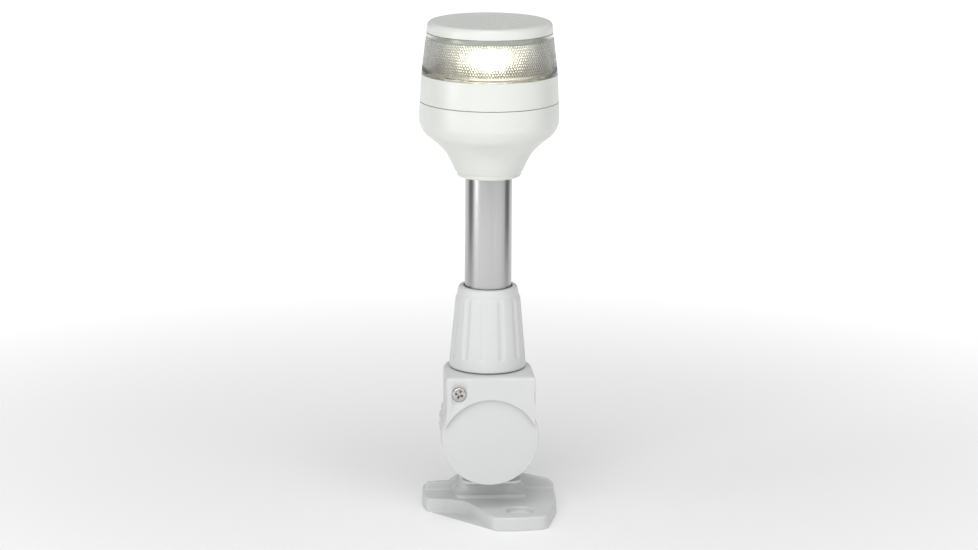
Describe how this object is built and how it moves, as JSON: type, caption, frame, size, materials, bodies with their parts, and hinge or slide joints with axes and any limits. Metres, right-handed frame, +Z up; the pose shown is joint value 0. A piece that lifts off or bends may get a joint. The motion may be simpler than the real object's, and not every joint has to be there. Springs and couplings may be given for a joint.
{
  "type": "fold-down all-round navigation light",
  "caption": "All-round white navigation light on a tube pole, clamped by a fluted sleeve in a holder that folds sideways on a deck base with a clamp knob.",
  "frame": {"origin": "on the deck face of the base, straight under the pole's axis with the pole upright", "axes": "+Z up along the upright pole; -Y towards the plain hinge disc at the front, which is also the direction of the hinge axis; +X to the right seen from the front, towards the lobe with the front screw hole"},
  "size_m": [0.077, 0.0766, 0.2728],
  "materials": {
    "base_nylon": "moulded white nylon, satin",
    "lamp_housing": "moulded white ASA, soft gloss",
    "lens_acrylic": "clear moulded acrylic with fine prisms",
    "pole_aluminium": "satin anodised, lengthwise brushed",
    "sink_aluminium": "plain",
    "stainless": "bright stainless steel",
    "brass": "turned",
    "inner_nylon": "natural nylon",
    "rubber": "moulded",
    "lead_sheath": "extruded sheath",
    "board": "white solder mask",
    "led": "phosphor",
    "ferrite": "sintered ferrite"
  },
  "bodies": {
    "base": {"base": "base_nylon", "pivot_bolt": "stainless", "friction_washer": "inner_nylon"},
    "mast": {"holder_block": "base_nylon", "front_plate": "base_nylon", "plate_screw": "stainless", "thrust_washer": "stainless", "pole_ferrule": "inner_nylon", "pole": "pole_aluminium", "lamp_lead": "lead_sheath", "exit_grommet": "rubber", "lamp_bowl": "lamp_housing", "bowl_seal": "rubber", "lamp_ring": "lamp_housing", "lens": "lens_acrylic", "lens_seal": "rubber", "lid_seal": "rubber", "lid": "lamp_housing", "heat_sink": "sink_aluminium", "led_board": "board", "led_1": "led", "led_2": "led", "led_3": "led", "led_4": "led", "led_5": "led", "led_6": "led", "driver_board": "board", "driver_capacitor": "sink_aluminium", "driver_inductor": "ferrite"},
    "knob_slider": {"spring_washer": "stainless"},
    "knob": {"clamp_knob": "base_nylon", "knob_insert": "brass"},
    "sleeve_slider": {"slip_ring": "inner_nylon"},
    "sleeve": {"collar_nut": "base_nylon", "pole_seal": "rubber"}
  },
  "joints": [
    {"name": "fold", "type": "hinge", "parent": "base", "child": "mast", "pos_m": [0, 0, 0.0485], "axis": [0, 1, 0], "range_deg": [-90, 90]},
    {"name": "knob_travel", "type": "slide", "parent": "base", "child": "knob_slider", "axis": [0, 1, 0], "range_m": [0, 0.0025]},
    {"name": "knob_turn", "type": "hinge", "parent": "knob_slider", "child": "knob", "pos_m": [0, 0.006, 0.0485], "axis": [0, 1, 0], "range_deg": [0, 720]},
    {"name": "sleeve_travel", "type": "slide", "parent": "mast", "child": "sleeve_slider", "axis": [0, 0, 1], "range_m": [0, 0.0045]},
    {"name": "sleeve_turn", "type": "hinge", "parent": "sleeve_slider", "child": "sleeve", "pos_m": [0, 0, 0.1], "axis": [0, 0, 1], "range_deg": [0, 540]}
  ],
  "couplings": [
    {"joint": "knob_travel", "follows": "knob_turn", "m_per_rad": 0.00019894},
    {"joint": "sleeve_travel", "follows": "sleeve_turn", "m_per_rad": 0.00047746}
  ]
}
